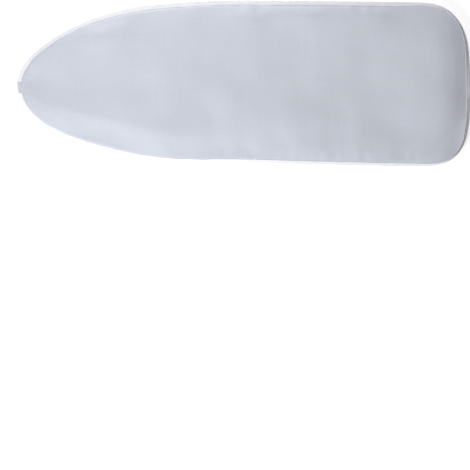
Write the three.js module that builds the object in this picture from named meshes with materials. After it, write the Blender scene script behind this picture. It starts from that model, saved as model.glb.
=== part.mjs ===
// An ironing board cover, laid out on its hem and ready to go over a board.
// Sizes are millimetres, with +Z up. The tip points along -X and the square end along +X.
// The origin is on the ground under the middle of the cover.
//
// From the outside in, the cover is a metallised face, a foam backing that is cut with it,
// and a felt pad as large as the board. A folded tape binds the raw edge all round and
// holds an elastic cord in its fold. A short grey tab joins the tape's ends beside the tip.

import * as THREE from "three";
import { mergeVertices } from "three/addons/utils/BufferGeometryUtils.js";

// Overall size, measured to the outside of the hem
const LENGTH = 1290;
const WIDTH = 468;
const SHOULDER_HEIGHT = 15;

// Outline seen from above
const NOSE_REACH = 640;
const CORNER_REACH = 150;
const tipFullnessShare = 0.49;
const noseFullnessShare = 0.337;
const cornerFullnessShare = 0.92;
const endFlatnessShare = 0.67;

// Layers
const FACE_THICKNESS = 0.8;
const FOAM_THICKNESS = 3;
const FOAM_PRESSED_THICKNESS = 1.2;
const FELT_THICKNESS = 5;
const FELT_EDGE_BEVEL = 1.2;
const CLEARANCE = 0.3;

// Hem, from its outer fold inwards
const TAPE_WIDTH = 13;
const TAPE_THICKNESS = 0.7;
const CORD_DIAMETER = 3;
const TAB_LENGTH = 34;
const TAB_WIDTH = 9;
const TAB_OFFSET = 13;

// Skirt, which falls from the panel's shoulder to the hem
const SKIRT_RUN = 36;

// Panel, which swells a little towards its middle and creases beside the tip
const CROWN_RISE = 3;
const CREASE_HALF_WIDTH = 45;
const CREASE_RISE = 3;
const creaseReachShare = 0.81;
const creaseSpreadShare = 0.72;

// How finely each stretch of the half outline and each section is divided
const NOSE_STEPS = 19;
const SIDE_STEPS = 7;
const CORNER_STEPS = 13;
const SKIRT_STEPS = 3;
const FOLD_STEPS = 5;
const CORD_SIDES = 8;
const panelRingShares = [0.2, 0.55, 1];

const MERGE_DISTANCE = 0.001;

// Outline
// Half of it runs from the tip to the middle of the square end, on the +Y side.

const tipX = -LENGTH / 2;
const endX = LENGTH / 2;
const halfWidth = WIDTH / 2;

const noseCurve = new THREE.CubicBezierCurve(
  new THREE.Vector2(tipX, 0),
  new THREE.Vector2(tipX, halfWidth * tipFullnessShare),
  new THREE.Vector2(tipX + NOSE_REACH * noseFullnessShare, halfWidth),
  new THREE.Vector2(tipX + NOSE_REACH, halfWidth),
);
const sideLine = new THREE.LineCurve(
  new THREE.Vector2(tipX + NOSE_REACH, halfWidth),
  new THREE.Vector2(endX - CORNER_REACH, halfWidth),
);
const cornerCurve = new THREE.CubicBezierCurve(
  new THREE.Vector2(endX - CORNER_REACH, halfWidth),
  new THREE.Vector2(endX - CORNER_REACH * (1 - cornerFullnessShare), halfWidth),
  new THREE.Vector2(endX, halfWidth * endFlatnessShare),
  new THREE.Vector2(endX, 0),
);

// How far along the outline from the tip the tab's two ends lie, each towards its own side
const tabNearReach = TAB_LENGTH / 2 - TAB_OFFSET;
const tabFarReach = TAB_LENGTH / 2 + TAB_OFFSET;

// A station is a place on the outline: its point, the direction straight inwards,
// and how far along the outline it lies from the tip.
function stationOn(curve, t, startAlong) {
  const point = curve.getPoint(t);
  const tangent = curve.getTangent(t);
  return { x: point.x, y: point.y, inX: tangent.y, inY: -tangent.x, along: startAlong + lengthTo(curve, t) };
}

function lengthTo(curve, t) {
  const lengths = curve.getLengths();
  const place = t * (lengths.length - 1);
  const before = Math.floor(place);
  const after = Math.min(before + 1, lengths.length - 1);
  return lengths[before] + (lengths[after] - lengths[before]) * (place - before);
}

function evenPlaces(steps) {
  return Array.from({ length: steps }, (_, i) => i / steps);
}

function halfOutline() {
  const tabPlaces = [tabNearReach, tabFarReach].map((reach) => noseCurve.getUtoTmapping(0, Math.abs(reach)));
  const nosePlaces = [...evenPlaces(NOSE_STEPS), ...tabPlaces].sort((a, b) => a - b);
  const sideStart = noseCurve.getLength();
  const cornerStart = sideStart + sideLine.getLength();
  return [
    ...nosePlaces.map((t) => stationOn(noseCurve, t, 0)),
    ...evenPlaces(SIDE_STEPS).map((t) => stationOn(sideLine, t, sideStart)),
    ...[...evenPlaces(CORNER_STEPS), 1].map((t) => stationOn(cornerCurve, t, cornerStart)),
  ];
}

const upperHalf = halfOutline();
const lap = 2 * upperHalf[upperHalf.length - 1].along;
const lowerHalf = upperHalf
  .slice(1, -1)
  .reverse()
  .map((s) => ({ x: s.x, y: -s.y, inX: s.inX, inY: -s.inY, along: lap - s.along }));
const outline = [...upperHalf, ...lowerHalf];

// Forms that several layers share

// The crease is a soft ridge. It leaves the tip on the -Y side and bends towards the long side.
// Its reach is a share of the nose's, and its spread a share of the half width.
const creaseReach = NOSE_REACH * creaseReachShare;
const creaseSpread = halfWidth * creaseSpreadShare;

function creaseHeight(x, y) {
  const reachShare = (x - tipX) / creaseReach;
  if (reachShare <= 0 || reachShare >= 1) return 0;
  const ridgeY = -creaseSpread * Math.sin((Math.PI * reachShare) / 2);
  const sideShare = Math.min(1, Math.abs(y - ridgeY) / CREASE_HALF_WIDTH);
  return CREASE_RISE * Math.sin(Math.PI * reachShare) * Math.cos((Math.PI * sideShare) / 2) ** 2;
}

// The panel's middle line, which its rings close on
const spineStartX = tipX + halfWidth;
const spineEndX = endX - halfWidth;

// A section point says how far in from the outline it lies and how high, how far across
// the panel towards the spine, and how much of the crown and of the crease it takes up.
function place(station, point) {
  const { inset, height, panelShare = 0, crownShare = 0, creaseShare = 0 } = point;
  const ringX = station.x + station.inX * inset;
  const ringY = station.y + station.inY * inset;
  const spineX = Math.min(Math.max(ringX, spineStartX), spineEndX);
  const x = ringX + (spineX - ringX) * panelShare;
  const y = ringY * (1 - panelShare);
  return new THREE.Vector3(x, y, height + CROWN_RISE * crownShare + creaseHeight(x, y) * creaseShare);
}

// Sections
// Each is listed the same way round: over the top towards the outline and back underneath.

// Heights of the flat stack inside the hem
const foamHemBottom = TAPE_THICKNESS + CLEARANCE;
const faceHemBottom = foamHemBottom + FOAM_PRESSED_THICKNESS + CLEARANCE;
const faceHemTop = faceHemBottom + FACE_THICKNESS;
const tapeLegBottom = faceHemTop + CLEARANCE;
const tapeLegTop = tapeLegBottom + TAPE_THICKNESS;

// The cord lies in the tape's fold, which is drawn as a polygon round the cord's circle.
// The fold turns from under the cord, past the outline's side, and down behind it.
const foldTurn = Math.PI * 1.25;
const cordRadius = CORD_DIAMETER / 2;
const foldInnerRadius = (cordRadius + CLEARANCE) / Math.cos(foldTurn / (2 * FOLD_STEPS));
const foldOuterRadius = foldInnerRadius + TAPE_THICKNESS;
const cordInset = foldOuterRadius;
const cordHeight = foldOuterRadius;
const rawEdgeInset = cordInset + cordRadius + CLEARANCE;
const shoulderInset = TAPE_WIDTH + SKIRT_RUN;

// A point of the skirt, a given depth under the face's upper surface and square to it
function skirtPoint(share, depth) {
  const rise = SHOULDER_HEIGHT - faceHemTop;
  const slope = ((rise / SKIRT_RUN) * Math.PI * Math.sin(Math.PI * share)) / 2;
  const stretch = Math.hypot(1, slope);
  return {
    inset: TAPE_WIDTH + SKIRT_RUN * share + (depth * slope) / stretch,
    height: faceHemTop + (rise * (1 - Math.cos(Math.PI * share))) / 2 - depth / stretch,
    creaseShare: share,
  };
}

// A point of the panel, in one of the rings that close on the spine
function panelPoint(inset, height, panelShare, creaseShare) {
  return { inset, height, panelShare, crownShare: Math.sin((Math.PI * panelShare) / 2), creaseShare };
}

// One surface of a soft layer, from the raw edge up the skirt and across to the spine
function layerSurface(depthAt) {
  const skirtShares = [...evenPlaces(SKIRT_STEPS), 1];
  return [
    { inset: rawEdgeInset, height: faceHemTop - depthAt(0) },
    ...skirtShares.map((share) => skirtPoint(share, depthAt(share))),
    ...panelRingShares.map((share) => panelPoint(shoulderInset, SHOULDER_HEIGHT - depthAt(1), share, 1)),
  ];
}

const foamDepth = FACE_THICKNESS + CLEARANCE;

function faceSection() {
  return [...layerSurface(() => 0).reverse(), ...layerSurface(() => FACE_THICKNESS)];
}

// The foam is pressed thin in the hem and is full from halfway up the skirt.
function foamSection() {
  const thicknessAt = (share) => {
    const fullness = Math.min(1, 2 * share);
    return FOAM_PRESSED_THICKNESS + (FOAM_THICKNESS - FOAM_PRESSED_THICKNESS) * fullness;
  };
  const bottomDepth = (share) => foamDepth + thicknessAt(share);
  return [...layerSurface(() => foamDepth).reverse(), ...layerSurface(bottomDepth)];
}

// The felt lies under the panel only. Its lower face is flat, because a board lies against it.
function feltSection() {
  const edgeInset = shoulderInset + CLEARANCE;
  const topHeight = SHOULDER_HEIGHT - foamDepth - FOAM_THICKNESS - CLEARANCE;
  const bottomHeight = topHeight - FELT_THICKNESS;
  const top = panelRingShares.map((share) => panelPoint(edgeInset, topHeight, share, 0));
  return [
    ...top.reverse(),
    { inset: edgeInset + FELT_EDGE_BEVEL, height: topHeight },
    { inset: edgeInset, height: topHeight - FELT_EDGE_BEVEL },
    { inset: edgeInset, height: bottomHeight + FELT_EDGE_BEVEL },
    { inset: edgeInset + FELT_EDGE_BEVEL, height: bottomHeight },
    { inset: edgeInset, height: bottomHeight, panelShare: 1 },
  ];
}

// Round the cord from behind it to below it
function foldArc(radius) {
  return [...evenPlaces(FOLD_STEPS), 1].map((share) => {
    const angle = foldTurn * (1 - share);
    return { inset: cordInset - radius * Math.sin(angle), height: cordHeight - radius * Math.cos(angle) };
  });
}

// A tape folded round the cord, with two legs that grip the raw edge
function tapeSection(width) {
  return [
    { inset: width, height: tapeLegTop },
    { inset: rawEdgeInset + TAPE_THICKNESS, height: tapeLegTop },
    ...foldArc(foldOuterRadius),
    { inset: width, height: 0 },
    { inset: width, height: TAPE_THICKNESS },
    ...foldArc(foldInnerRadius).reverse(),
    { inset: rawEdgeInset, height: tapeLegBottom },
    { inset: width, height: tapeLegBottom },
  ];
}

function cordSection() {
  return evenPlaces(CORD_SIDES).map((share) => {
    const angle = 2 * Math.PI * share;
    return { inset: cordInset + cordRadius * Math.cos(angle), height: cordHeight + cordRadius * Math.sin(angle) };
  });
}

// Solids

// How far a section point lies from the outline towards the spine
function reachIn(point) {
  return point.inset + halfWidth * (point.panelShare ?? 0);
}

// Joins the section at one station to the same section at the next. Every four-sided patch is
// cut from its inner corner here to its outer corner there, so that facing layers agree.
function bandTriangles(section, here, there, sides) {
  const triangles = [];
  for (let j = 0; j < sides; j++) {
    const k = (j + 1) % section.length;
    const [hereJ, hereK, thereJ, thereK] = [here + j, here + k, there + j, there + k];
    if (reachIn(section[j]) > reachIn(section[k])) {
      triangles.push(hereJ, thereK, hereK, hereJ, thereJ, thereK);
    } else {
      triangles.push(hereJ, thereJ, hereK, thereJ, thereK, hereK);
    }
  }
  return triangles;
}

function sectionPoints(section, stations) {
  return stations.flatMap((station) => section.map((point) => place(station, point)));
}

// Carries a section all the way round the outline.
function roundSolid(section, sides) {
  const index = outline.flatMap((_, i) => {
    const next = (i + 1) % outline.length;
    return bandTriangles(section, i * section.length, next * section.length, sides);
  });
  return closedGeometry(sectionPoints(section, outline), index);
}

// The section of a layer is open on the spine, where its upper and lower surfaces end.
function layerSolid(section) {
  return roundSolid(section, section.length - 1);
}

function ringSolid(section) {
  return roundSolid(section, section.length);
}

// Carries a ring-shaped section along a run of stations and caps both ends.
function stripSolid(section, stations) {
  const index = stations.slice(1).flatMap((_, i) => {
    return bandTriangles(section, i * section.length, (i + 1) * section.length, section.length);
  });
  const flat = section.map((point) => new THREE.Vector2(point.inset, point.height));
  const last = (stations.length - 1) * section.length;
  for (const [a, b, c] of THREE.ShapeUtils.triangulateShape(flat, [])) {
    index.push(a, b, c);
    index.push(last + a, last + c, last + b);
  }
  return closedGeometry(sectionPoints(section, stations), index);
}

// Merges the points that coincide, and leaves out the triangles that this flattens.
function closedGeometry(points, index) {
  const loose = new THREE.BufferGeometry().setFromPoints(points).setIndex(index);
  const merged = mergeVertices(loose, MERGE_DISTANCE);
  const corners = Array.from(merged.index.array);
  const kept = [];
  for (let i = 0; i < corners.length; i += 3) {
    const triangle = corners.slice(i, i + 3);
    if (new Set(triangle).size === triangle.length) kept.push(...triangle);
  }
  merged.setIndex(kept);
  merged.computeVertexNormals();
  return merged;
}

// The tab's stretch of the outline, and the rest of it, which the tape binds
function nearestStation(along) {
  const misses = outline.map((station) => Math.abs(station.along - along));
  return misses.indexOf(Math.min(...misses));
}

function splitAtTab() {
  const farEnd = nearestStation(lap - tabFarReach);
  const nearEnd = nearestStation((lap + tabNearReach) % lap);
  const turned = [...outline.slice(farEnd), ...outline.slice(0, farEnd + 1)];
  const tabSteps = (nearEnd - farEnd + outline.length) % outline.length;
  return { tabRun: turned.slice(0, tabSteps + 1), tapeRun: turned.slice(tabSteps) };
}

// Draws both ends of a run in by the clearance.
function drawnIn(stations) {
  const drawn = (end, next) => {
    const share = CLEARANCE / Math.hypot(next.x - end.x, next.y - end.y);
    const mix = (key) => end[key] + (next[key] - end[key]) * share;
    return { x: mix("x"), y: mix("y"), inX: mix("inX"), inY: mix("inY") };
  };
  const [first, second] = stations;
  const [before, last] = stations.slice(-2);
  return [drawn(first, second), ...stations.slice(1, -1), drawn(last, before)];
}

const { tabRun, tapeRun } = splitAtTab();

const metallisedCotton = new THREE.MeshStandardMaterial({ color: 0xc4c8d2, roughness: 0.45, metalness: 0.6 });
const whiteFoam = new THREE.MeshStandardMaterial({ color: 0xe9e7e0, roughness: 0.95, metalness: 0 });
const paleFelt = new THREE.MeshStandardMaterial({ color: 0xcfccc4, roughness: 1, metalness: 0 });
const whiteTape = new THREE.MeshStandardMaterial({ color: 0xeeeff1, roughness: 0.85, metalness: 0 });
const greyTape = new THREE.MeshStandardMaterial({ color: 0xb4b6ba, roughness: 0.85, metalness: 0 });
const whiteElastic = new THREE.MeshStandardMaterial({ color: 0xe4e4e2, roughness: 0.8, metalness: 0 });

const cover = new THREE.Group();

function addPiece(name, geometry, material) {
  const mesh = new THREE.Mesh(geometry, material);
  mesh.name = name;
  cover.add(mesh);
}

addPiece("face_fabric", layerSolid(faceSection()), metallisedCotton);
addPiece("foam_backing", layerSolid(foamSection()), whiteFoam);
addPiece("felt_pad", layerSolid(feltSection()), paleFelt);
addPiece("hem_tape", stripSolid(tapeSection(TAPE_WIDTH), drawnIn(tapeRun)), whiteTape);
addPiece("elastic_cord", ringSolid(cordSection()), whiteElastic);
addPiece("nose_tab", stripSolid(tapeSection(TAB_WIDTH), tabRun), greyTape);

export default cover;
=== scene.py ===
"""An ironing board cover laid out on its hem, seen from straight above.

The CAD model gives the layers and their places. This script makes the cloth itself: one skin
is shaped over the pad, and the face and the foam are offsets of that skin. The hem turns down
by a different amount along each side, as it lies in the photograph.
"""

import math

import bmesh
import bpy
import numpy as np
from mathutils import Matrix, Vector
from mathutils.geometry import delaunay_2d_cdt
from mathutils.kdtree import KDTree


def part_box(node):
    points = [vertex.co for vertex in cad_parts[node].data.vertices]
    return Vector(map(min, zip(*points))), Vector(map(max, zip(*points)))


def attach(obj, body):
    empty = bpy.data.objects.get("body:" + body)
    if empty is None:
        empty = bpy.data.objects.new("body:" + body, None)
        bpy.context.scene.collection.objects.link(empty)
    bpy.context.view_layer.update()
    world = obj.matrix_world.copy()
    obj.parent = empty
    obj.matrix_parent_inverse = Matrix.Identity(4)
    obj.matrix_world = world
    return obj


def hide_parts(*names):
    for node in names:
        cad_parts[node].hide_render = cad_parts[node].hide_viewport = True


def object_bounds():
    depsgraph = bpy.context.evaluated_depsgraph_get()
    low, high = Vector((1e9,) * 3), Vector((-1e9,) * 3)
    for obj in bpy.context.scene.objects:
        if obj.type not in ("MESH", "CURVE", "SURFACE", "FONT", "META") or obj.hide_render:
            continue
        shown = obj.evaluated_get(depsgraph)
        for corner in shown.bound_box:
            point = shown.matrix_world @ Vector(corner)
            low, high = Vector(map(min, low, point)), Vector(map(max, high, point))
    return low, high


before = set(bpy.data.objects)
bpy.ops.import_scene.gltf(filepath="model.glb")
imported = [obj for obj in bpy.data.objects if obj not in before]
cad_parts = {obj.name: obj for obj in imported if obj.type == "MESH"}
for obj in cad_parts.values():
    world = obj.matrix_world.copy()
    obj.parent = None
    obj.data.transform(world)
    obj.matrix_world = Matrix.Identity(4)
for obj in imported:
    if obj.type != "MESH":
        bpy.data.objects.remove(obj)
cad_low, cad_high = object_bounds()

MM = 0.001

# Outline, as in the CAD model
TIP_X = cad_low.x
END_X = cad_high.x
HALF_WIDTH = (cad_high.y - cad_low.y) / 2
NOSE_REACH = 640 * MM
CORNER_REACH = 150 * MM
TIP_FULLNESS = 0.49
NOSE_FULLNESS = 0.337
CORNER_FULLNESS = 0.92
END_FLATNESS = 0.67

# Layers
SHOULDER_HEIGHT = 15 * MM
SHOULDER_INSET = 49 * MM
FACE_THICKNESS = 0.8 * MM
FOAM_THICKNESS = 3 * MM
FOAM_PRESSED = 1.3 * MM
LAYER_GAP = 0.08 * MM
FELT_THICKNESS = 5 * MM
FELT_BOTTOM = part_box("felt_pad")[0].z
FELT_EDGE_BULGE = 1.4 * MM
FELT_GAP = 0.4 * MM
FELT_EDGE_RINGS = 7

# Hem section, measured outwards from the tape's inner edge and up from the stack's middle
TAPE_WIDTH = 13 * MM
TAPE_THICKNESS = 0.7 * MM
STACK_HALF = 2.15 * MM
FOLD_RADIUS = 2.6 * MM
CORD_RADIUS = 1.5 * MM
FACE_TOP_UP = 1.15 * MM
RAW_EDGE_OUT = 8.4 * MM
SEAM_OUT = 1.8 * MM
SEAM_DENTS = (0.08 * MM, 0.24 * MM)
LEG_END_GAP = 0.8 * MM
LEG_END_SPREAD = 0.3
FOLD_SWEEP = 1.15 * np.pi
TAPE_GAP = 0.15 * MM
TAB_WIDTH = 9 * MM
TAB_LENGTH = 34 * MM
TAB_OFFSET = 13 * MM

# Along the tape's edge, in shares of SEAM_OUT, how much of the seam's dent there is
SEAM_PROFILE = ((0, 0.3), (0.5, 0.1), (1, 1), (1.6, 0.1))

# Skirt, which bulges out of the seam and runs level into the panel
TUCKED_SHARES = (1, 0.66, 0.33, 0.12)
SEAM_BULGE = 1.6 * MM
SEAM_SOFTNESS = 2.4 * MM
BULGE_LIMIT = 0.6
NEAR_SIDE_BULGE = 1.4
NEAR_SIDE_FADE = 100 * MM
FAR_SIDE_BULGE = 0.75
FAR_SIDE_FADE = 300 * MM
LEAST_BULGE = 0.1
SQUARE_END_X = 0.61
SKIRT_SLOPE = 1.5
SKIRT_CROWDING = 1.7
PUCKER_SEED = 9
PUCKER_LENGTH = 34 * MM
PUCKER_HEIGHT = 0.1 * MM
PUCKER_OF_BULGE = 0.05
EDGE_SINK = 2.2 * MM
SINK_REACH = 75 * MM

# Hem's waver, in degrees, and how many steps round the outline its turn and shift are smoothed over
HEM_WAVER = 2.5
HEM_WAVER_SEED = 41
HEM_WAVER_LENGTH = 60 * MM
STEEPEST_TURN = 88
TURN_SMOOTHING = 30
SHIFT_SMOOTHING = 16

# Panel's relief
CROWN_RISE = 0.9 * MM
SWELL_SEED = 5
SWELL_WAVES = 26
SWELL_LENGTHS = (90, 260)
SWELL_MIDDLE_LENGTH = 200 * MM
SWELL_RISE = 0.26 * MM
BUMP_GAIN = 1.2
FOLD_WIDTH = 3.5 * MM
FOLD_DEPTH = 0.3 * MM
PINCH_START = 6 * MM
PINCH_REACH = 75 * MM
PINCH_CLEAR = 20 * MM
PINCH_RISE = 0.8 * MM
PINCH_FOLDS = ((4, 1.4, 1), (13, 2.1, 0.2))

# Crease beside the nose. Its widths towards the middle are in mm. Its spread, rise, widths and phase
# start come from the same fit as FITTED_BUMPS, and most were changed afterwards
CREASE_REACH = 556 * MM
CREASE_SPREAD = 150 * MM
CREASE_RISE = 6.8 * MM
CREASE_MIDDLE_WIDTH = 48
CREASE_MIDDLE_GROWTH = 120
CREASE_HEM_WIDTH = 58 * MM
CREASE_PHASE_START = 0.045
CREASE_PHASE_GROWTH = 0.8
CREASE_RISING_POWER = 0.7
CREASE_FALLING_POWER = 1.4

# Stitches
STITCH_PITCH = 3.4 * MM
STITCH_LENGTH = 2.7 * MM
THREAD_RADIUS = 0.24 * MM
THREAD_SIDES = 6
TACK_FROM_END = 2.2 * MM
TACK_PITCH = 0.55 * MM
TACK_ROWS = 7

# A stitch from end to end: place in shares of its half length, girth and sink in shares of its radius
STITCH_PROFILE = ((-1, 0.45, 0.5), (-0.75, 0.9, 0.12), (0, 1, 0), (0.75, 0.9, 0.12), (1, 0.45, 0.5))

# Finishes
FACE_GREY = (0.592, 0.619, 0.692)
FOAM_CREAM = (0.86, 0.85, 0.81)
FELT_GREY = (0.62, 0.61, 0.58)
TAPE_WHITE = (0.93, 0.942, 0.985)
TAB_GREY = (0.715, 0.712, 0.745)
THREAD_WHITE = (0.85, 0.86, 0.88)
ELASTIC_WHITE = (0.78, 0.78, 0.77)
WEAVE_PITCH = 1.1 * MM
TWILL_PITCH = 0.9 * MM
BRAID_PITCH = 1.0 * MM
TWIST_PITCH = 0.3 * MM

# Studio. The camera looks straight down, as the photograph's upper picture does. The lamps' places
# started from a search against the photograph's shading, and their powers were balanced afterwards
AMBIENT = 0.13
FLOOR_FADE = (0.75, 2.0)
FLOOR_GLOW = (0.5, 1.0)
FLOOR_HALF = 12
FLOOR_DROP = 0.1 * MM
FLOOR_GREY = 0.85
CAMERA_CENTRE = (-0.0243, -0.4338)
CAMERA_HEIGHT = 8
LENS_PER_METRE = 26.84
SENSOR_WIDTH = 36
FAR_CLIP = 100
LAMP_AIM = (-0.1, 0, 0)
LAMPS = (
    ("key", (-2.6, -3.3, 1.28), 1.0, 141),
    ("fill", (-0.4, 1.5, 0.7), 0.9, 17.6),
    ("top", (-0.4, -0.8, 2.2), 0.9, 17.4),
)

# Settling
SETTLE_FRAMES = 20
SETTLE_CAP = 0.45 * MM
SETTLE_DROP = 0.3 * MM
SETTLE_ROWS = 8
CLOTH_MASS = 0.3
CLOTH_STIFFNESS = 40
CLOTH_BENDING = 8
CLOTH_SLACK = 0.0012
CLOTH_PRESSURE = 0.12
CLOTH_QUALITY = 8
CLOTH_AIR_DAMPING = 2
COARSENESS = 4
COARSE_ROW_STEP = 3
COARSE_SPACING = 13 * MM
NEIGHBOURS = 10

# Fineness
RIM_STATIONS = 900
SKIRT_ROWS = 14
PANEL_SPACING = 6.5 * MM
PANEL_MARGIN = 0.62
FOLD_POINTS = 11
CORD_SIDES = 12
OUTLINE_STEPS = 3000
ROUND_STEP_COUNT = 2000
TANGENT_STEP = 2 * MM

# A wave is a sum of terms whose lengths lie this far apart, six to each side of the middle one
WAVE_SIDE_TERMS = 6
WAVE_TERM_STEP = 1 / 16
WAVE_LEVEL = 5.5


# Outline


def bezier(points, t):
    """Points of a cubic curve at the shares t."""
    p0, p1, p2, p3 = (np.array(p) for p in points)
    t = t[:, None]
    return (1 - t) ** 3 * p0 + 3 * (1 - t) ** 2 * t * p1 + 3 * (1 - t) * t**2 * p2 + t**3 * p3


def outline_line():
    """The outline as a fine closed line, from the tip along the +Y side and back to the tip."""
    t = np.linspace(0, 1, OUTLINE_STEPS)
    nose = [
        (TIP_X, 0),
        (TIP_X, HALF_WIDTH * TIP_FULLNESS),
        (TIP_X + NOSE_REACH * NOSE_FULLNESS, HALF_WIDTH),
        (TIP_X + NOSE_REACH, HALF_WIDTH),
    ]
    corner = [
        (END_X - CORNER_REACH, HALF_WIDTH),
        (END_X - CORNER_REACH * (1 - CORNER_FULLNESS), HALF_WIDTH),
        (END_X, HALF_WIDTH * END_FLATNESS),
        (END_X, 0),
    ]
    half = np.concatenate([bezier(nose, t), bezier(corner, t)])
    return np.concatenate([half, half[-2::-1] * (1, -1)])


LINE = outline_line()
NEAR_OUTLINE = KDTree(len(LINE))
for i, (x, y) in enumerate(LINE):
    NEAR_OUTLINE.insert((x, y, 0), i)
NEAR_OUTLINE.balance()
LINE_RUN = np.concatenate([[0], np.cumsum(np.hypot(*np.diff(LINE, axis=0).T))])
LAP = LINE_RUN[-1]


def outline_at(along):
    """Points of the outline at these lengths along it."""
    along = np.mod(along, LAP)
    return np.stack([np.interp(along, LINE_RUN, LINE[:, k]) for k in (0, 1)], 1)


def along_at(x, side):
    """How far along the outline it is at this x, on the side that the sign gives."""
    half = len(LINE) // 2 + 1
    near = np.interp(x, LINE[:half, 0], LINE_RUN[:half])
    return near if side > 0 else LAP - near


def wave(along, seed, wavelength):
    """A gentle irregular wave round the outline, mostly between -1 and 1."""
    random = np.random.RandomState(seed)
    middle = LAP / wavelength
    height = np.zeros_like(along)
    for k in range(-WAVE_SIDE_TERMS, WAVE_SIDE_TERMS + 1):
        turns = round(middle * (1 + k * WAVE_TERM_STEP))
        height += np.cos(2 * np.pi * turns * along / LAP + random.uniform(0, 2 * np.pi))
    return height / WAVE_LEVEL


# How far the hem is turned down, by x and side: 0 degrees lies flat outwards, 90 hangs down.
# Chosen from the width of the white band in the photograph and from test renders
HEM_TURNS = [
    (TIP_X, 1, 4),
    (-0.61, 1, 34),
    (-0.50, 1, 28),
    (-0.42, 1, 12),
    (-0.30, 1, 5),
    (0.0, 1, 5),
    (0.38, 1, 12),
    (0.50, 1, 42),
    (0.60, 1, 66),
    (0.635, 1, 56),
    (END_X, 1, 20),
    (0.635, -1, 40),
    (0.61, -1, 66),
    (0.56, -1, 66),
    (0.46, -1, 46),
    (0.05, -1, 47),
    (-0.10, -1, 68),
    (-0.42, -1, 72),
    (-0.56, -1, 72),
    (-0.62, -1, 64),
    (-0.637, -1, 40),
]

# How far the hem is drawn in from the CAD model's outline, in mm, by x and side. 17 of the 26
# rows are the rounded output of a separate program, which measured how far the hem's edge lies
# in the photograph from where it lay in a render of this part. The other rows, mostly at the
# square end and on the nose's -Y side, were set one by one
DRAWN_IN = [
    (TIP_X, 1, -1.5),
    (-0.626, 1, 4),
    (-0.58, 1, 6),
    (-0.53, 1, 3),
    (-0.47, 1, -1.5),
    (-0.36, 1, -6),
    (-0.29, 1, -6),
    (-0.17, 1, -2),
    (0.20, 1, 0),
    (0.45, 1, 3.5),
    (0.55, 1, 5.5),
    (0.61, 1, 8),
    (0.638, 1, 1),
    (0.638, -1, -4),
    (0.58, -1, -8),
    (0.51, -1, -4),
    (0.45, -1, -4),
    (0.26, -1, 0),
    (0.08, -1, 5),
    (-0.05, -1, 10),
    (-0.11, -1, 8),
    (-0.23, -1, 2.5),
    (-0.42, -1, 2),
    (-0.53, -1, -3),
    (-0.585, -1, -6),
    (-0.626, -1, -3),
]

ROUND_STEPS = np.arange(ROUND_STEP_COUNT) / ROUND_STEP_COUNT * LAP


def smooth_round(places, reach):
    """Values given by x and side, smoothed, at fine even steps round the outline."""
    ordered = sorted((along_at(x, side) % LAP, value) for x, side, value in places)
    along, value = (np.array(v) for v in zip(*ordered))
    values = np.interp(ROUND_STEPS, along, value, period=LAP)
    kernel = np.hanning(2 * reach + 3)[1:-1]
    wrapped = np.concatenate([values[-reach:], values, values[:reach]])
    return np.convolve(wrapped, kernel / kernel.sum(), "valid")


WAVER = HEM_WAVER * wave(ROUND_STEPS, HEM_WAVER_SEED, HEM_WAVER_LENGTH)
TURNS = np.radians(np.clip(smooth_round(HEM_TURNS, TURN_SMOOTHING) + WAVER, 0, STEEPEST_TURN))
SHIFTS = smooth_round(DRAWN_IN, SHIFT_SMOOTHING) * MM


# The hem's section


def fold_line(radius):
    """Round the cord from behind it to below it."""
    angle = np.linspace(FOLD_SWEEP, 0, FOLD_POINTS)
    out = TAPE_WIDTH - FOLD_RADIUS + radius * np.sin(angle)
    up = FOLD_RADIUS - STACK_HALF - radius * np.cos(angle)
    return list(zip(out, up))


def tape_section(width, seam_dent=0):
    """The folded tape's closed section, with a dent where the seam pulls its legs together."""
    edge = TAPE_WIDTH - width
    seam = [(edge + SEAM_OUT * share, dent) for share, dent in SEAM_PROFILE]
    leg = seam + [(RAW_EDGE_OUT - LEG_END_GAP, -LEG_END_SPREAD)]
    top = [(out, STACK_HALF - seam_dent * dent) for out, dent in leg]
    top_inside = [(out, up - TAPE_THICKNESS) for out, up in top]
    bottom = [(out, -up) for out, up in top]
    bottom_inside = [(out, -up) for out, up in top_inside]
    outer_fold = fold_line(FOLD_RADIUS)
    inner_fold = fold_line(FOLD_RADIUS - TAPE_THICKNESS)
    return top + outer_fold + bottom[::-1] + bottom_inside + inner_fold[::-1] + top_inside[::-1]


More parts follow.
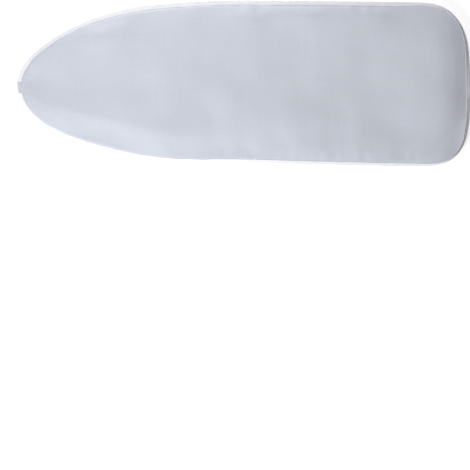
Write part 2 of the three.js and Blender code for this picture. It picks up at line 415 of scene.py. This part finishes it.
class Rim:
    """A run of stations on the outline.

    Each has a point on the hem's edge, the way straight in, how far the point is shifted that way
    from the CAD model's outline, and the hem's turn.
    """

    def __init__(self, along):
        self.along = np.asarray(along, float)
        tangent = outline_at(self.along + TANGENT_STEP) - outline_at(self.along - TANGENT_STEP)
        self.tangent = tangent / np.hypot(*tangent.T)[:, None]
        self.inward = np.stack([self.tangent[:, 1], -self.tangent[:, 0]], 1)
        self.shift = np.interp(self.along, ROUND_STEPS, SHIFTS, period=LAP)
        self.point = outline_at(self.along) + self.inward * self.shift[:, None]
        self.turn = np.interp(self.along, ROUND_STEPS, TURNS, period=LAP)
        self.cos, self.sin = np.cos(self.turn), np.sin(self.turn)
        out, up = np.array(tape_section(TAPE_WIDTH)).T[:, :, None]
        self.pivot_height = -(up * self.cos - out * self.sin).min(0)
        self.pivot_inset = (out * self.cos + up * self.sin).max(0)

    def hem_place(self, out, up):
        """Inset and height of a point of the hem's section, at every station."""
        inset = self.pivot_inset - out * self.cos - up * self.sin
        height = self.pivot_height - out * self.sin + up * self.cos
        return inset, height

    def lift(self, inset, height):
        """Points at an inset and a height."""
        xy = self.point + self.inward * np.asarray(inset)[..., None]
        return np.column_stack([xy, np.broadcast_to(height, len(xy))])

    def hem_points(self, out, up):
        return self.lift(*self.hem_place(out, up))

    def section_axes(self):
        """The ways in space that the hem's section calls out and up."""
        out_way = np.column_stack([-self.inward * self.cos[:, None], -self.sin])
        up_way = np.column_stack([-self.inward * self.sin[:, None], self.cos])
        return out_way, up_way


rim = Rim(np.arange(RIM_STATIONS) / RIM_STATIONS * LAP)


# Relief of the panel


def relief(x, y):
    """How much higher the face lies than a level panel."""
    padded = crown(y) + swell(x, y) + edge_sink(x, y)
    return padded + crease(x, y) + pinch(x, y) + bumps(x, y) + folds(x, y)


def crown(y):
    """The pad is a little thicker along its middle."""
    return CROWN_RISE * np.clip(1 - (y / HALF_WIDTH) ** 2, 0, 1)


def edge_sink(x, y):
    """The pad is thinner and lower along its edge."""
    inset = np.array([NEAR_OUTLINE.find((*p, 0))[2] for p in zip(x, y)])
    return -EDGE_SINK * (1 - np.clip((inset - SHOULDER_INSET) / SINK_REACH, 0, 1)) ** 2


# Soft bumps and hollows: middle x and y, reach along and across, turn in degrees, height.
# These are the rounded result of a least-squares fit to the photograph's shading, which a separate
# program made. The second and the eighth were changed afterwards
FITTED_BUMPS = [
    (-0.42, 0.093, 0.20, 0.091, 37, -1.8 * MM),
    (-0.42, 0.125, 0.09, 0.036, 10, 4.2 * MM),
    (0.126, -0.125, 0.20, 0.058, -2, 2.2 * MM),
    (-0.064, -0.019, 0.19, 0.054, -34, 2.9 * MM),
    (0.117, 0.041, 0.20, 0.052, -6, -1.5 * MM),
    (0.33, 0.0, 0.19, 0.067, 60, -3.9 * MM),
    (0.417, -0.115, 0.053, 0.090, 30, -3.3 * MM),
    (0.515, 0.12, 0.105, 0.085, 5, 4.6 * MM),
    (-0.183, 0.176, 0.062, 0.14, -13, -2.0 * MM),
    (0.118, 0.137, 0.052, 0.117, 59, -3.1 * MM),
    (0.534, 0.163, 0.048, 0.122, -37, -2.0 * MM),
    (0.017, 0.181, 0.064, 0.030, -1, 3.1 * MM),
    (-0.233, -0.046, 0.063, 0.073, -14, 3.2 * MM),
    (-0.647, 0.017, 0.19, 0.042, -4, -3.3 * MM),
]

# More of the same, set one by one while renders were compared with the photograph
HAND_SET_BUMPS = [
    (-0.17, -0.148, 0.17, 0.045, 0, 2.4 * MM),
    (0.575, 0.0, 0.045, 0.2, 0, 1.3 * MM),
    (0.655, -0.14, 0.08, 0.055, 0, -4.5 * MM),
    (0.43, -0.125, 0.16, 0.055, 0, -1.3 * MM),
    (0.58, -0.24, 0.07, 0.05, 0, 6.0 * MM),
]


def bumps(x, y):
    """The sum of all the soft bumps and hollows."""
    height = np.zeros_like(x)
    for middle_x, middle_y, reach_along, reach_across, turn, rise in FITTED_BUMPS + HAND_SET_BUMPS:
        cos, sin = math.cos(math.radians(turn)), math.sin(math.radians(turn))
        dx, dy = x - middle_x, y - middle_y
        along, across = (dx * cos + dy * sin) / reach_along, (dy * cos - dx * sin) / reach_across
        height += rise * np.exp(-(along**2) - across**2)
    return BUMP_GAIN * height


def line_across(x, y, place, start, reach):
    """How strong a faint line across the cover is: it fades in along y from its start."""
    return np.exp(-(((x - place) / FOLD_WIDTH) ** 2)) * np.clip((y - start) / reach, 0, 1)


def folds(x, y):
    """Faint lines across, left by the cover's folding in its package: a valley and a ridge."""
    valley = line_across(x, y, -0.352, 0.05, 0.1)
    ridge = line_across(x, y, 0.171, -0.06, 0.2)
    return FOLD_DEPTH * (ridge - valley)


def crease(x, y):
    """The ridge that leaves the tip on the -Y side: steep towards the hem, soft towards the middle."""
    share = np.clip((x - TIP_X) / CREASE_REACH, 0, 1.2)
    ridge_y = -CREASE_SPREAD * np.sqrt(share)
    beside = y - ridge_y
    middle_width = (CREASE_MIDDLE_WIDTH + CREASE_MIDDLE_GROWTH * share) * MM
    towards_middle = np.exp(-np.clip(beside, 0, None) / middle_width)
    towards_hem = np.exp(-((np.clip(beside, None, 0) / CREASE_HEM_WIDTH) ** 2))
    phase = np.clip(share * CREASE_PHASE_GROWTH + CREASE_PHASE_START, 0, 1)
    power = np.where(phase < 0.5, CREASE_RISING_POWER, CREASE_FALLING_POWER)
    strength = np.sin(np.pi * phase) ** power
    return CREASE_RISE * strength * np.where(beside > 0, towards_middle, towards_hem)


def pinch(x, y):
    """Short folds that spread from the tab, where the ends of the tape are gathered."""
    dx, dy = x - (TIP_X + PINCH_START), y + TAB_OFFSET
    reach = np.hypot(dx, dy)
    angle = np.arctan2(dy, dx)
    fade = np.exp(-((reach / PINCH_REACH) ** 2)) * np.clip(reach / PINCH_CLEAR, 0, 1)
    folded = sum(size * np.cos(count * angle + phase) for count, phase, size in PINCH_FOLDS)
    return PINCH_RISE * fade * folded


def swell(x, y):
    """Loose low waves of the padded cloth."""
    random = np.random.RandomState(SWELL_SEED)
    height = np.zeros_like(x)
    for _ in range(SWELL_WAVES):
        length = random.uniform(*SWELL_LENGTHS) * MM
        angle, phase = random.uniform(0, 2 * np.pi, 2)
        along = (x * np.cos(angle) + y * np.sin(angle)) / length
        height += np.sin(2 * np.pi * along + phase) * length / SWELL_MIDDLE_LENGTH
    return SWELL_RISE * height


# The skin: rows round the rim, then a panel of even triangles


def skirt_rows():
    """The face's upper surface from inside the hem up to the shoulder, row by row."""
    tucked = [RAW_EDGE_OUT * share for share in TUCKED_SHARES]
    rows = [rim.hem_points(out, FACE_TOP_UP) for out in tucked]
    start_inset, start_height = rim.hem_place(0, FACE_TOP_UP)
    run = SHOULDER_INSET - rim.shift - start_inset
    rise = SHOULDER_HEIGHT - start_height
    pucker = wave(rim.along, PUCKER_SEED, PUCKER_LENGTH)
    bulge = np.minimum(SEAM_BULGE * (1 + PUCKER_OF_BULGE * pucker), BULGE_LIMIT * rise)
    before_end = SQUARE_END_X - rim.point[:, 0]
    near_side = np.clip(0.5 - rim.point[:, 1] / HALF_WIDTH, 0, 1)
    near_side *= np.clip(before_end / NEAR_SIDE_FADE, 0, 1)
    far_side = FAR_SIDE_BULGE * (1 - near_side) * np.clip(before_end / FAR_SIDE_FADE, LEAST_BULGE, 1)
    bulge *= NEAR_SIDE_BULGE * near_side + far_side
    for i in range(SKIRT_ROWS + 1):
        share = (i / SKIRT_ROWS) ** SKIRT_CROWDING
        puffed = 1 - np.exp(-run * share / SEAM_SOFTNESS)
        sloped = share * (SKIRT_SLOPE - (SKIRT_SLOPE - 1) * share)
        height = start_height + bulge * puffed + (rise - EDGE_SINK - bulge) * sloped
        points = rim.lift(start_inset + run * share, height)
        raised = relief(points[:, 0], points[:, 1]) + EDGE_SINK
        points[:, 2] += raised * np.sin(np.pi / 2 * share)
        points[:, 2] += PUCKER_HEIGHT * pucker * np.sin(np.pi * share) ** 1.5
        rows.append(points)
    return rows


def inside_ring(ring, points, margin):
    """The points that lie inside a closed ring, at least a margin from its corners."""
    after = np.roll(ring, -1, 0)
    kept = []
    for p in points:
        crossing = (ring[:, 1] > p[1]) != (after[:, 1] > p[1])
        a, b = ring[crossing], after[crossing]
        at_x = a[:, 0] + (p[1] - a[:, 1]) / (b[:, 1] - a[:, 1]) * (b[:, 0] - a[:, 0])
        is_in = np.count_nonzero(at_x > p[0]) % 2 == 1
        if is_in and np.hypot(*(ring - p).T).min() > margin:
            kept.append(p)
    return np.array(kept)


def panel_fill(ring, spacing):
    """Points of an even triangular grid inside a ring, and the triangles that join all to it."""
    low, high = ring.min(0), ring.max(0)
    grid = []
    for j, y in enumerate(np.arange(low[1], high[1], spacing * math.sqrt(3) / 2)):
        xs = np.arange(low[0] + (j % 2) * spacing / 2, high[0], spacing)
        grid.append(np.column_stack([xs, np.full(len(xs), y)]))
    inner = inside_ring(ring, np.concatenate(grid), spacing * PANEL_MARGIN)
    corners = [Vector(p) for p in np.concatenate([ring, inner])]
    edges = [(i, (i + 1) % len(ring)) for i in range(len(ring))]
    _, _, triangles, _, _, _ = delaunay_2d_cdt(corners, edges, [], 1, 1e-7)
    return inner, [tuple(t) for t in triangles]


def faces_between_rows(count, rows):
    """Four-sided faces between closed rows of as many points each."""
    faces = []
    for r in range(rows - 1):
        for i in range(count):
            k = (i + 1) % count
            faces.append((r * count + i, (r + 1) * count + i, (r + 1) * count + k, r * count + k))
    return faces


def skin_from_rows(rows, height_at, spacing):
    """Vertices and upward faces of rows round the rim, filled in with a panel."""
    inner, triangles = panel_fill(rows[-1][:, :2], spacing)
    panel = np.column_stack([inner, height_at(inner[:, 0], inner[:, 1])])
    faces = faces_between_rows(len(rows[0]), len(rows))
    base = (len(rows) - 1) * len(rows[0])
    faces += [tuple(base + v for v in t) for t in triangles]
    return np.concatenate([*rows, panel]), faces


def panel_height(x, y):
    """How high the face lies on the panel."""
    return SHOULDER_HEIGHT + relief(x, y)


# Settling: the padded skin is simulated as cloth, coarsely, and its shift is taken over


def settled_cloth(vertices, faces, held):
    """Where the vertices come to rest as slack cloth whose first vertices are held in the hem."""
    mesh = bpy.data.meshes.new("settling")
    mesh.from_pydata([tuple(v) for v in vertices], [], faces)
    piece = bpy.data.objects.new("settling", mesh)
    bpy.context.scene.collection.objects.link(piece)
    pins = piece.vertex_groups.new(name="hem")
    pins.add(list(range(held)), 1.0, "REPLACE")
    cloth = piece.modifiers.new("settling", "CLOTH")
    cloth.point_cache.frame_end = SETTLE_FRAMES
    values = cloth.settings
    values.quality = CLOTH_QUALITY
    values.mass = CLOTH_MASS
    values.tension_stiffness = CLOTH_STIFFNESS
    values.compression_stiffness = CLOTH_STIFFNESS
    values.shear_stiffness = CLOTH_STIFFNESS / 2
    values.bending_stiffness = CLOTH_BENDING
    values.air_damping = CLOTH_AIR_DAMPING
    values.vertex_group_mass = "hem"
    values.shrink_min = -CLOTH_SLACK
    values.use_pressure = True
    values.uniform_pressure_force = CLOTH_PRESSURE
    values.effector_weights.gravity = 0
    cloth.collision_settings.use_collision = False
    for step in range(1, SETTLE_FRAMES + 1):
        bpy.context.scene.frame_set(step)
    posed = piece.evaluated_get(bpy.context.evaluated_depsgraph_get())
    moved = np.array([v.co for v in posed.data.vertices])
    bpy.context.scene.frame_set(1)
    bpy.data.objects.remove(piece)
    return moved


def settled_shift(rows, points):
    """How far each point moves when the skin settles."""
    coarse_rows = [row[::COARSENESS] for row in rows[::COARSE_ROW_STEP]]
    start, faces = skin_from_rows(coarse_rows, panel_height, COARSE_SPACING)
    held = 2 * len(coarse_rows[0])
    shift = settled_cloth(start, faces, held) - start
    length = np.linalg.norm(shift, axis=1)
    shift *= (SETTLE_CAP * np.tanh(length / SETTLE_CAP) / np.maximum(length, 1e-9))[:, None]
    tree = KDTree(len(start))
    for i, p in enumerate(start):
        tree.insert(p, i)
    tree.balance()
    taken = np.zeros_like(points)
    for i, p in enumerate(points):
        near = tree.find_n(p, NEIGHBOURS)
        weights = np.array([math.exp(-((d / COARSE_SPACING) ** 2)) for _, _, d in near])
        taken[i] = weights @ shift[[k for _, k, _ in near]] / weights.sum()
    row = np.arange(len(points)) // RIM_STATIONS - (len(rows) - 1 - SKIRT_ROWS)
    free = np.sin(np.pi / 2 * np.clip(row / SETTLE_ROWS, 0, 1)) ** 2
    taken[:, 2] = np.maximum(taken[:, 2], -SETTLE_DROP)
    return taken * free[:, None]


def vertex_normals(vertices, faces):
    """The outward way at each vertex, weighted by the faces' areas."""
    normals = np.zeros_like(vertices)
    for size in (3, 4):
        group = np.array([f for f in faces if len(f) == size])
        a, b, c, d = (vertices[group[:, k]] for k in (0, 1, 2, -1))
        across = np.cross(c - a, d - b) if size == 4 else np.cross(b - a, c - a)
        for k in range(size):
            np.add.at(normals, group[:, k], across)
    return normals / np.linalg.norm(normals, axis=1)[:, None]


# Objects


def new_object(name, vertices, faces, material):
    """A smooth piece that rides on the root body."""
    mesh = bpy.data.meshes.new(name)
    mesh.from_pydata([tuple(v) for v in vertices], [], faces)
    working = bmesh.new()
    working.from_mesh(mesh)
    bmesh.ops.recalc_face_normals(working, faces=working.faces)
    working.to_mesh(mesh)
    working.free()
    mesh.polygons.foreach_set("use_smooth", [True] * len(mesh.polygons))
    mesh.materials.append(material)
    made = bpy.data.objects.new(name, mesh)
    bpy.context.scene.collection.objects.link(made)
    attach(made, "root")
    return made


def layer(name, upper, lower, faces, material):
    """A closed sheet between two surfaces that have the same faces, joined round their first row."""
    count = len(upper)
    edge = [(i, (i + 1) % RIM_STATIONS) for i in range(RIM_STATIONS)]
    sides = [(i, k, count + k, count + i) for i, k in edge]
    under = [tuple(count + v for v in reversed(f)) for f in faces]
    return new_object(name, np.concatenate([upper, lower]), faces + under + sides, material)


def sweep(name, rings, material, closed):
    """Joins rings of points, one ring a station, into one closed solid."""
    size, count = len(rings[0]), len(rings)
    faces = []
    for r in range(count if closed else count - 1):
        s = (r + 1) % count
        for i in range(size):
            k = (i + 1) % size
            faces.append((r * size + i, r * size + k, s * size + k, s * size + i))
    if not closed:
        faces += [tuple(range(size)), tuple((count - 1) * size + i for i in range(size))]
    return new_object(name, np.concatenate(rings), faces, material)


def section_rings(stations, section):
    """The points of a hem section at each of the stations."""
    columns = [stations.hem_points(out, up) for out, up in section]
    return list(np.stack(columns, 1))


# Finishes


class Finish:
    """A material under construction, with short ways to add its nodes."""

    def __init__(self, name, colour, roughness, metallic=0.0, sheen=0.0):
        self.material = bpy.data.materials.new(name)
        self.material.use_nodes = True
        self.tree = self.material.node_tree
        self.shader = self.tree.nodes["Principled BSDF"]
        self.colour = colour
        self.shader.inputs["Base Color"].default_value = (*colour, 1)
        self.shader.inputs["Roughness"].default_value = roughness
        self.shader.inputs["Metallic"].default_value = metallic
        self.shader.inputs["Sheen Weight"].default_value = sheen
        self.position = self.node("ShaderNodeTexCoord").outputs["Object"]

    def node(self, kind, **values):
        made = self.tree.nodes.new(kind)
        for key, value in values.items():
            if key in made.inputs:
                made.inputs[key].default_value = value
            else:
                setattr(made, key, value)
        return made

    def link(self, source, target):
        self.tree.links.new(source, target)

    def stretched(self, x, y, z):
        """The position with each axis stretched."""
        mapping = self.node("ShaderNodeMapping")
        mapping.inputs["Scale"].default_value = (x, y, z)
        self.link(self.position, mapping.inputs["Vector"])
        return mapping.outputs["Vector"]

    def noise(self, vector, scale, detail=3.0, roughness=0.55):
        made = self.node("ShaderNodeTexNoise", Scale=scale, Detail=detail, Roughness=roughness)
        self.link(vector, made.inputs["Vector"])
        return made.outputs["Fac"]

    def math(self, operation, first, second=None):
        made = self.node("ShaderNodeMath", operation=operation)
        for socket, value in zip(made.inputs, (first, second)):
            if isinstance(value, (int, float)):
                socket.default_value = value
            elif value is not None:
                self.link(value, socket)
        return made.outputs[0]

    def ripple(self, axis, pitch, turn=0.0):
        """A sine wave across one axis, or across a line turned from it."""
        mapping = self.node("ShaderNodeMapping")
        mapping.inputs["Rotation"].default_value = (0, 0, turn)
        self.link(self.position, mapping.inputs["Vector"])
        split = self.node("ShaderNodeSeparateXYZ")
        self.link(mapping.outputs["Vector"], split.inputs[0])
        return self.math("SINE", self.math("MULTIPLY", split.outputs[axis], 2 * math.pi / pitch))

    def tint(self, factor, low, high):
        """The base colour, darker where the factor is low and lighter where it is high."""
        ramp = self.node("ShaderNodeValToRGB")
        ramp.color_ramp.elements[0].color = (*(c * low for c in self.colour), 1)
        ramp.color_ramp.elements[1].color = (*(min(1, c * high) for c in self.colour), 1)
        ramp.color_ramp.elements[0].position = 0.3
        ramp.color_ramp.elements[1].position = 0.7
        self.link(factor, ramp.inputs["Fac"])
        self.link(ramp.outputs["Color"], self.shader.inputs["Base Color"])

    def bump(self, height, distance, strength=1.0):
        made = self.node("ShaderNodeBump", Strength=strength, Distance=distance)
        self.link(height, made.inputs["Height"])
        self.link(made.outputs["Normal"], self.shader.inputs["Normal"])


def metallised_cotton():
    """Silver-grey metallised plain weave, with slubs in both directions."""
    cloth = Finish("metallised_cotton", FACE_GREY, 0.5, metallic=0.15)
    weft = cloth.noise(cloth.stretched(12, 330, 9), 1.0)
    warp = cloth.noise(cloth.stretched(330, 12, 9), 1.0)
    cloudy = cloth.noise(cloth.position, 9.0, 4.0)
    slubs = cloth.math("ADD", cloth.math("MULTIPLY", weft, 0.4), cloth.math("MULTIPLY", warp, 0.4))
    cloth.tint(cloth.math("ADD", slubs, cloth.math("MULTIPLY", cloudy, 0.2)), 0.955, 1.045)
    weave = cloth.math("MULTIPLY", cloth.ripple("X", WEAVE_PITCH), cloth.ripple("Y", WEAVE_PITCH))
    cloth.bump(cloth.math("ADD", weave, cloth.math("MULTIPLY", slubs, 2.0)), 0.05 * MM, 0.8)
    return cloth.material


def foam():
    """Open-cell foam with fine pores."""
    pores = Finish("foam", FOAM_CREAM, 0.95)
    cells = pores.node("ShaderNodeTexVoronoi", Scale=900.0)
    pores.link(pores.position, cells.inputs["Vector"])
    pores.tint(pores.noise(pores.position, 400.0), 0.93, 1.04)
    pores.bump(cells.outputs["Distance"], 0.35 * MM)
    return pores.material


def felt():
    """Needled felt: pale grey fibres in all directions, with darker flecks."""
    wool = Finish("felt", FELT_GREY, 1.0, sheen=0.3)
    fine = wool.noise(wool.stretched(700, 260, 300), 1.0, 6.0, 0.7)
    crossing = wool.noise(wool.stretched(220, 800, 300), 1.0, 6.0, 0.7)
    fibres = wool.math("MAXIMUM", fine, crossing)
    wool.tint(fibres, 0.72, 1.12)
    wool.bump(fibres, 0.5 * MM)
    return wool.material


def tape_cloth(name, colour):
    """Cotton tape with a fine diagonal twill."""
    tape = Finish(name, colour, 0.85, sheen=0.15)
    twill = tape.ripple("X", TWILL_PITCH, math.radians(40))
    threads = tape.noise(tape.position, 1500.0)
    tape.tint(tape.noise(tape.position, 60.0), 0.97, 1.02)
    tape.bump(tape.math("ADD", twill, threads), 0.05 * MM)
    return tape.material


def thread():
    """Sewing thread with its twist."""
    twist = Finish("thread", THREAD_WHITE, 0.6, sheen=0.2)
    twist.tint(twist.noise(twist.position, 300.0), 0.94, 1.03)
    twist.bump(twist.ripple("X", TWIST_PITCH, math.radians(35)), 0.02 * MM)
    return twist.material


def elastic():
    """Braided elastic, with strands in two directions."""
    braid = Finish("elastic", ELASTIC_WHITE, 0.75)
    strands = [braid.ripple(axis, BRAID_PITCH, 0.8) for axis in "XY"]
    strands = braid.math("MULTIPLY", *strands)
    braid.tint(strands, 0.9, 1.03)
    braid.bump(strands, 0.1 * MM)
    return braid.material


# Pieces


def skin_layers():
    """The face's two surfaces, the foam's two surfaces, and the faces that they all have."""
    rows = skirt_rows()
    upper, faces = skin_from_rows(rows, panel_height, PANEL_SPACING)
    upper = upper + settled_shift(rows, upper)
    out = vertex_normals(upper, faces)
    hem_rows = len(rows) - SKIRT_ROWS - 1
    row = np.minimum(np.arange(len(upper)) // RIM_STATIONS, len(rows) - 1)
    fullness = np.clip((row - hem_rows) / (SKIRT_ROWS * 0.5), 0, 1)
    foam_thickness = FOAM_PRESSED + (FOAM_THICKNESS - FOAM_PRESSED) * fullness
    face_under = upper - out * FACE_THICKNESS
    foam_over = face_under - out * LAYER_GAP
    foam_under = foam_over - out * foam_thickness[:, None]
    return upper, face_under, foam_over, foam_under, faces


def felt_piece():
    """The pad under the panel, with its rounded cut edge."""
    felt_top = FELT_BOTTOM + FELT_THICKNESS

    def height(x, y):
        return felt_top + np.minimum(relief(x, y), crown(y) + swell(x, y))

    def underside(x, y):
        return FELT_BOTTOM + np.minimum(relief(x, y), 0) / 2

    edge = []
    for angle in np.linspace(-np.pi / 2, np.pi / 2, FELT_EDGE_RINGS):
        inset = SHOULDER_INSET + FELT_GAP + FELT_EDGE_BULGE * (1 - np.cos(angle))
        ring = rim.lift(inset - rim.shift, 0)
        low, high = (surface(ring[:, 0], ring[:, 1]) for surface in (underside, height))
        ring[:, 2] = low + (high - low) * (1 + np.sin(angle)) / 2
        edge.append(ring)
    above, faces = skin_from_rows(edge, height, PANEL_SPACING)
    inner, triangles = panel_fill(edge[0][:, :2], PANEL_SPACING)
    below = np.column_stack([inner, underside(inner[:, 0], inner[:, 1])])
    shift = len(above) - RIM_STATIONS
    faces += [tuple(v if v < RIM_STATIONS else v + shift for v in t) for t in triangles]
    return new_object("felt_layer", np.concatenate([above, below]), faces, felt())


def tape_stations(start, end):
    """Stations half a stitch apart, so that every second one carries a stitch."""
    steps = 2 * round((end - start) / STITCH_PITCH)
    return Rim(np.linspace(start, end, steps + 1))


def tape_rings(stations, width):
    """The tape's rings, drawn tighter at every stitch."""
    slack, tight = (section_rings(stations, tape_section(width, dent)) for dent in SEAM_DENTS)
    return [tight[i] if i % 2 else slack[i] for i in range(len(slack))]


def stitches(name, stations, rows, material):
    """Short threads along the hem, one at each station for every (out, up) in the rows."""
    tangent = np.column_stack([stations.tangent, np.zeros(len(stations.along))])
    out_way, up_way = stations.section_axes()
    share, girth, sink = np.array(STITCH_PROFILE, float).T
    girth, sink = girth * THREAD_RADIUS, sink * THREAD_RADIUS
    angles = np.arange(THREAD_SIDES) / THREAD_SIDES * 2 * np.pi
    points, faces = [], []
    for out, up in rows:
        middle = stations.hem_points(out, up)
        side = np.sign(up)
        for i in range(len(middle)):
            base = len(points) * len(angles) * len(share)
            centre = middle[i] + tangent[i] * share[:, None] * STITCH_LENGTH / 2
            centre -= up_way[i] * side * sink[:, None]
            around = np.cos(angles)[:, None] * out_way[i] + np.sin(angles)[:, None] * up_way[i]
            rings = centre[:, None] + girth[:, None, None] * around
            points.append(rings.reshape(-1, 3))
            for r in range(len(share) - 1):
                for k in range(len(angles)):
                    ring = base + r * len(angles)
                    a, b = ring + k, ring + (k + 1) % len(angles)
                    faces.append((a, b, b + len(angles), a + len(angles)))
            last = base + (len(share) - 1) * len(angles)
            faces.append(tuple(range(base, base + len(angles))))
            faces.append(tuple(range(last, last + len(angles))))
    return new_object(name, np.concatenate(points), faces, material)


def elastic_ring():
    """The cord in the fold of the tape, closed to a ring."""
    angles = np.arange(CORD_SIDES) / CORD_SIDES * 2 * np.pi
    out = TAPE_WIDTH - FOLD_RADIUS + CORD_RADIUS * np.cos(angles)
    up = FOLD_RADIUS - STACK_HALF + CORD_RADIUS * np.sin(angles)
    return sweep("elastic_ring", section_rings(rim, list(zip(out, up))), elastic(), True)


def make_cover():
    """All the pieces, and the CAD part that each stands for, which is hidden."""
    upper, face_under, foam_over, foam_under, faces = skin_layers()
    face = layer("face_cloth", upper, face_under, faces, metallised_cotton())
    foam_layer = layer("foam_layer", foam_over, foam_under, faces, foam())
    felt_layer = felt_piece()

    white = tape_cloth("white_tape", TAPE_WHITE)
    grey = tape_cloth("grey_tape", TAB_GREY)
    yarn = thread()
    tab_start, tab_end = -TAB_OFFSET - TAB_LENGTH / 2, -TAB_OFFSET + TAB_LENGTH / 2
    tape_run = tape_stations(tab_end + TAPE_GAP, LAP + tab_start - TAPE_GAP)
    tab_run = tape_stations(tab_start, tab_end)
    tape = sweep("tape_binding", tape_rings(tape_run, TAPE_WIDTH), white, False)
    tab = sweep("tab_binding", tape_rings(tab_run, TAB_WIDTH), grey, False)
    elastic_piece = elastic_ring()

    thread_up = STACK_HALF - THREAD_RADIUS
    seam_rows = [(SEAM_OUT, thread_up), (SEAM_OUT, -thread_up)]
    seam = stitches("seam_stitches", Rim(tape_run.along[1::2]), seam_rows, yarn)
    tack_run = Rim(np.array([tab_start + TACK_FROM_END, tab_end - TACK_FROM_END]))
    tack_outs = TAPE_WIDTH - TAB_WIDTH + np.arange(1, TACK_ROWS + 1) * TACK_PITCH
    tack_rows = [(out, side * thread_up) for out in tack_outs for side in (1, -1)]
    tacks = stitches("tab_tacks", tack_run, tack_rows, yarn)

    for piece, node, slot in (
        (face, "face_fabric", "metallised_cotton"),
        (foam_layer, "foam_backing", "foam"),
        (felt_layer, "felt_pad", "felt"),
        (tape, "hem_tape", "white_tape"),
        (elastic_piece, "elastic_cord", "elastic"),
        (tab, "nose_tab", "grey_tape"),
    ):
        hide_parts(node)


# Floor, light and camera


def show_white(tree, surface, strength, base=0.0):
    """Adds white light to a base for what the camera, gloss and glass see of a surface."""
    path = tree.nodes.new("ShaderNodeLightPath")
    seen = path.outputs["Is Camera Ray"]
    for name in ("Is Glossy Ray", "Is Transmission Ray"):
        either = tree.nodes.new("ShaderNodeMath")
        either.operation = "MAXIMUM"
        tree.links.new(seen, either.inputs[0])
        tree.links.new(path.outputs[name], either.inputs[1])
        seen = either.outputs[0]
    scaled = tree.nodes.new("ShaderNodeMath")
    scaled.operation = "MULTIPLY_ADD"
    if isinstance(strength, float):
        scaled.inputs[1].default_value = strength
    else:
        tree.links.new(strength, scaled.inputs[1])
    scaled.inputs[2].default_value = base
    tree.links.new(seen, scaled.inputs[0])
    tree.links.new(scaled.outputs[0], surface)


def make_floor():
    """A plain pale floor, which the camera sees as white outside the object's shadow."""
    mesh = bpy.data.meshes.new("floor")
    corners = [(x * FLOOR_HALF, y * FLOOR_HALF, 0) for x, y in ((-1, -1), (1, -1), (1, 1), (-1, 1))]
    mesh.from_pydata(corners, [], [(0, 1, 2, 3)])
    floor = bpy.data.objects.new("floor", mesh)
    floor.location.z = -FLOOR_DROP
    bpy.context.scene.collection.objects.link(floor)
    material = bpy.data.materials.new("floor_white")
    material.use_nodes = True
    shader = material.node_tree.nodes["Principled BSDF"]
    shader.inputs["Base Color"].default_value = (FLOOR_GREY, FLOOR_GREY, FLOOR_GREY, 1)
    shader.inputs["Roughness"].default_value = 1
    shader.inputs["Specular IOR Level"].default_value = 0
    shader.inputs["Emission Color"].default_value = (1, 1, 1, 1)
    tree = material.node_tree
    place = tree.nodes.new("ShaderNodeNewGeometry").outputs["Position"]
    reach = tree.nodes.new("ShaderNodeVectorMath")
    reach.operation = "LENGTH"
    glow = tree.nodes.new("ShaderNodeMapRange")
    for name, value in zip(("From Min", "From Max", "To Min", "To Max"), (*FLOOR_FADE, *FLOOR_GLOW)):
        glow.inputs[name].default_value = value
    tree.links.new(place, reach.inputs[0])
    tree.links.new(reach.outputs["Value"], glow.inputs["Value"])
    show_white(tree, shader.inputs["Emission Strength"], glow.outputs["Result"])
    mesh.materials.append(material)


def make_world():
    """Dim white surroundings, which the camera sees as pure white."""
    world = bpy.data.worlds.new("studio")
    bpy.context.scene.world = world
    world.use_nodes = True
    tree = world.node_tree
    background = tree.nodes["Background"]
    background.inputs["Color"].default_value = (1, 1, 1, 1)
    show_white(tree, background.inputs["Strength"], 1 - AMBIENT, AMBIENT)


def area_light(name, place, size, power):
    """A round lamp that points at the cover."""
    data = bpy.data.lights.new(name, "AREA")
    data.shape = "DISK"
    data.size = size
    data.energy = power
    light = bpy.data.objects.new(name, data)
    light.location = place
    light.rotation_euler = (Vector(LAMP_AIM) - Vector(place)).to_track_quat("-Z", "Y").to_euler()
    bpy.context.scene.collection.objects.link(light)


def make_camera():
    """The photograph's camera, straight above."""
    data = bpy.data.cameras.new("camera")
    data.sensor_width = SENSOR_WIDTH
    data.lens = CAMERA_HEIGHT * LENS_PER_METRE
    data.clip_end = FAR_CLIP
    camera = bpy.data.objects.new("camera", data)
    camera.location = (*CAMERA_CENTRE, CAMERA_HEIGHT)
    bpy.context.scene.collection.objects.link(camera)
    bpy.context.scene.camera = camera


def make_studio():
    """Floor, surroundings, lamps and camera."""
    make_floor()
    make_world()
    for lamp in LAMPS:
        area_light(*lamp)
    make_camera()
    bpy.context.scene.view_settings.view_transform = "Standard"


make_cover()
make_studio()
